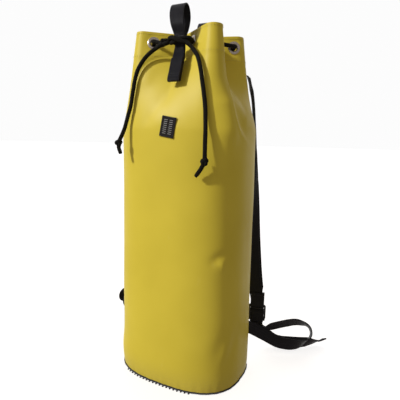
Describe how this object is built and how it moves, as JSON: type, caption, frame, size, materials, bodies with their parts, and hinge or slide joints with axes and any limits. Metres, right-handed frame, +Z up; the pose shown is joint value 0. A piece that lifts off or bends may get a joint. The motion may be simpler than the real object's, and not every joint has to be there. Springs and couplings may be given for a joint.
{
  "type": "drawcord kit bag",
  "caption": "Tall soft kit bag of coated cloth, its mouth gathered by a drawcord through eyelets, with webbing haul loops and shoulder straps on ladder buckles.",
  "frame": {"origin": "middle of the base, on the floor", "axes": "+Z up along the bag, the front with the tied haul loop faces -Y, +X to the bag's right seen from the front"},
  "size_m": [0.4712, 0.2997, 0.6315],
  "materials": {
    "tarpaulin": "smooth semi-gloss PVC-coated cloth",
    "webbing": "flat woven webbing",
    "strap_fabric": "padded woven strap",
    "cord": "braided sheath",
    "buckle_plastic": "moulded",
    "base_cloth": "heavy coated cloth",
    "eyelet_metal": "nickel plated",
    "badge_cloth": "woven patch"
  },
  "bodies": {
    "bag": {"body_panel": "tarpaulin", "rim_facing": "tarpaulin", "base_binding": "base_cloth", "base_panel": "base_cloth", "back_seam_strip": "tarpaulin", "rear_loop_patch": "webbing", "strap_anchor_right": "webbing", "strap_anchor_left": "webbing", "lower_anchor_right": "webbing", "lower_anchor_left": "webbing", "badge": "badge_cloth", "drawcord": "cord", "drawcord_turn": "cord", "drawcord_knot": "cord", "drawcord_end_left": "cord", "drawcord_end_right": "cord", "end_knot_left": "cord", "end_knot_right": "cord", "eyelet_front_left": "eyelet_metal", "washer_front_left": "eyelet_metal", "eyelet_front_right": "eyelet_metal", "washer_front_right": "eyelet_metal", "eyelet_right_front": "eyelet_metal", "washer_right_front": "eyelet_metal", "eyelet_right_rear": "eyelet_metal", "washer_right_rear": "eyelet_metal", "eyelet_back_right": "eyelet_metal", "washer_back_right": "eyelet_metal", "eyelet_back_left": "eyelet_metal", "washer_back_left": "eyelet_metal", "eyelet_left_rear": "eyelet_metal", "washer_left_rear": "eyelet_metal", "eyelet_left_front": "eyelet_metal", "washer_left_front": "eyelet_metal", "shoulder_strap_right": "strap_fabric", "adjuster_webbing_right": "webbing", "webbing_tail_right": "webbing", "strap_sleeve_right": "webbing", "shoulder_strap_left": "strap_fabric", "adjuster_webbing_left": "webbing", "webbing_tail_left": "webbing", "strap_sleeve_left": "webbing"},
    "front_loop": {"front_haul_loop": "webbing"},
    "rear_loop": {"rear_haul_loop": "webbing"},
    "buckle_right": {"ladder_buckle_right": "buckle_plastic", "webbing_turn_right": "webbing"},
    "buckle_left": {"ladder_buckle_left": "buckle_plastic", "webbing_turn_left": "webbing"}
  },
  "joints": [
    {"name": "front_loop_swing", "type": "hinge", "parent": "bag", "child": "front_loop", "pos_m": [0.013, -0.0565, 0.577], "axis": [-1, 0, 0], "range_deg": [-6, 20]},
    {"name": "rear_loop_swing", "type": "hinge", "parent": "bag", "child": "rear_loop", "pos_m": [0.005, 0.0428, 0.5575], "axis": [1, 0, 0], "range_deg": [-5, 8]},
    {"name": "buckle_tilt_right", "type": "hinge", "parent": "bag", "child": "buckle_right", "pos_m": [0.107, 0.103, 0.097], "axis": [0.9659, 0.2588, 0], "range_deg": [-8, 45]},
    {"name": "buckle_tilt_left", "type": "hinge", "parent": "bag", "child": "buckle_left", "pos_m": [-0.107, 0.103, 0.097], "axis": [0.9659, -0.2588, 0], "range_deg": [-8, 45]}
  ]
}
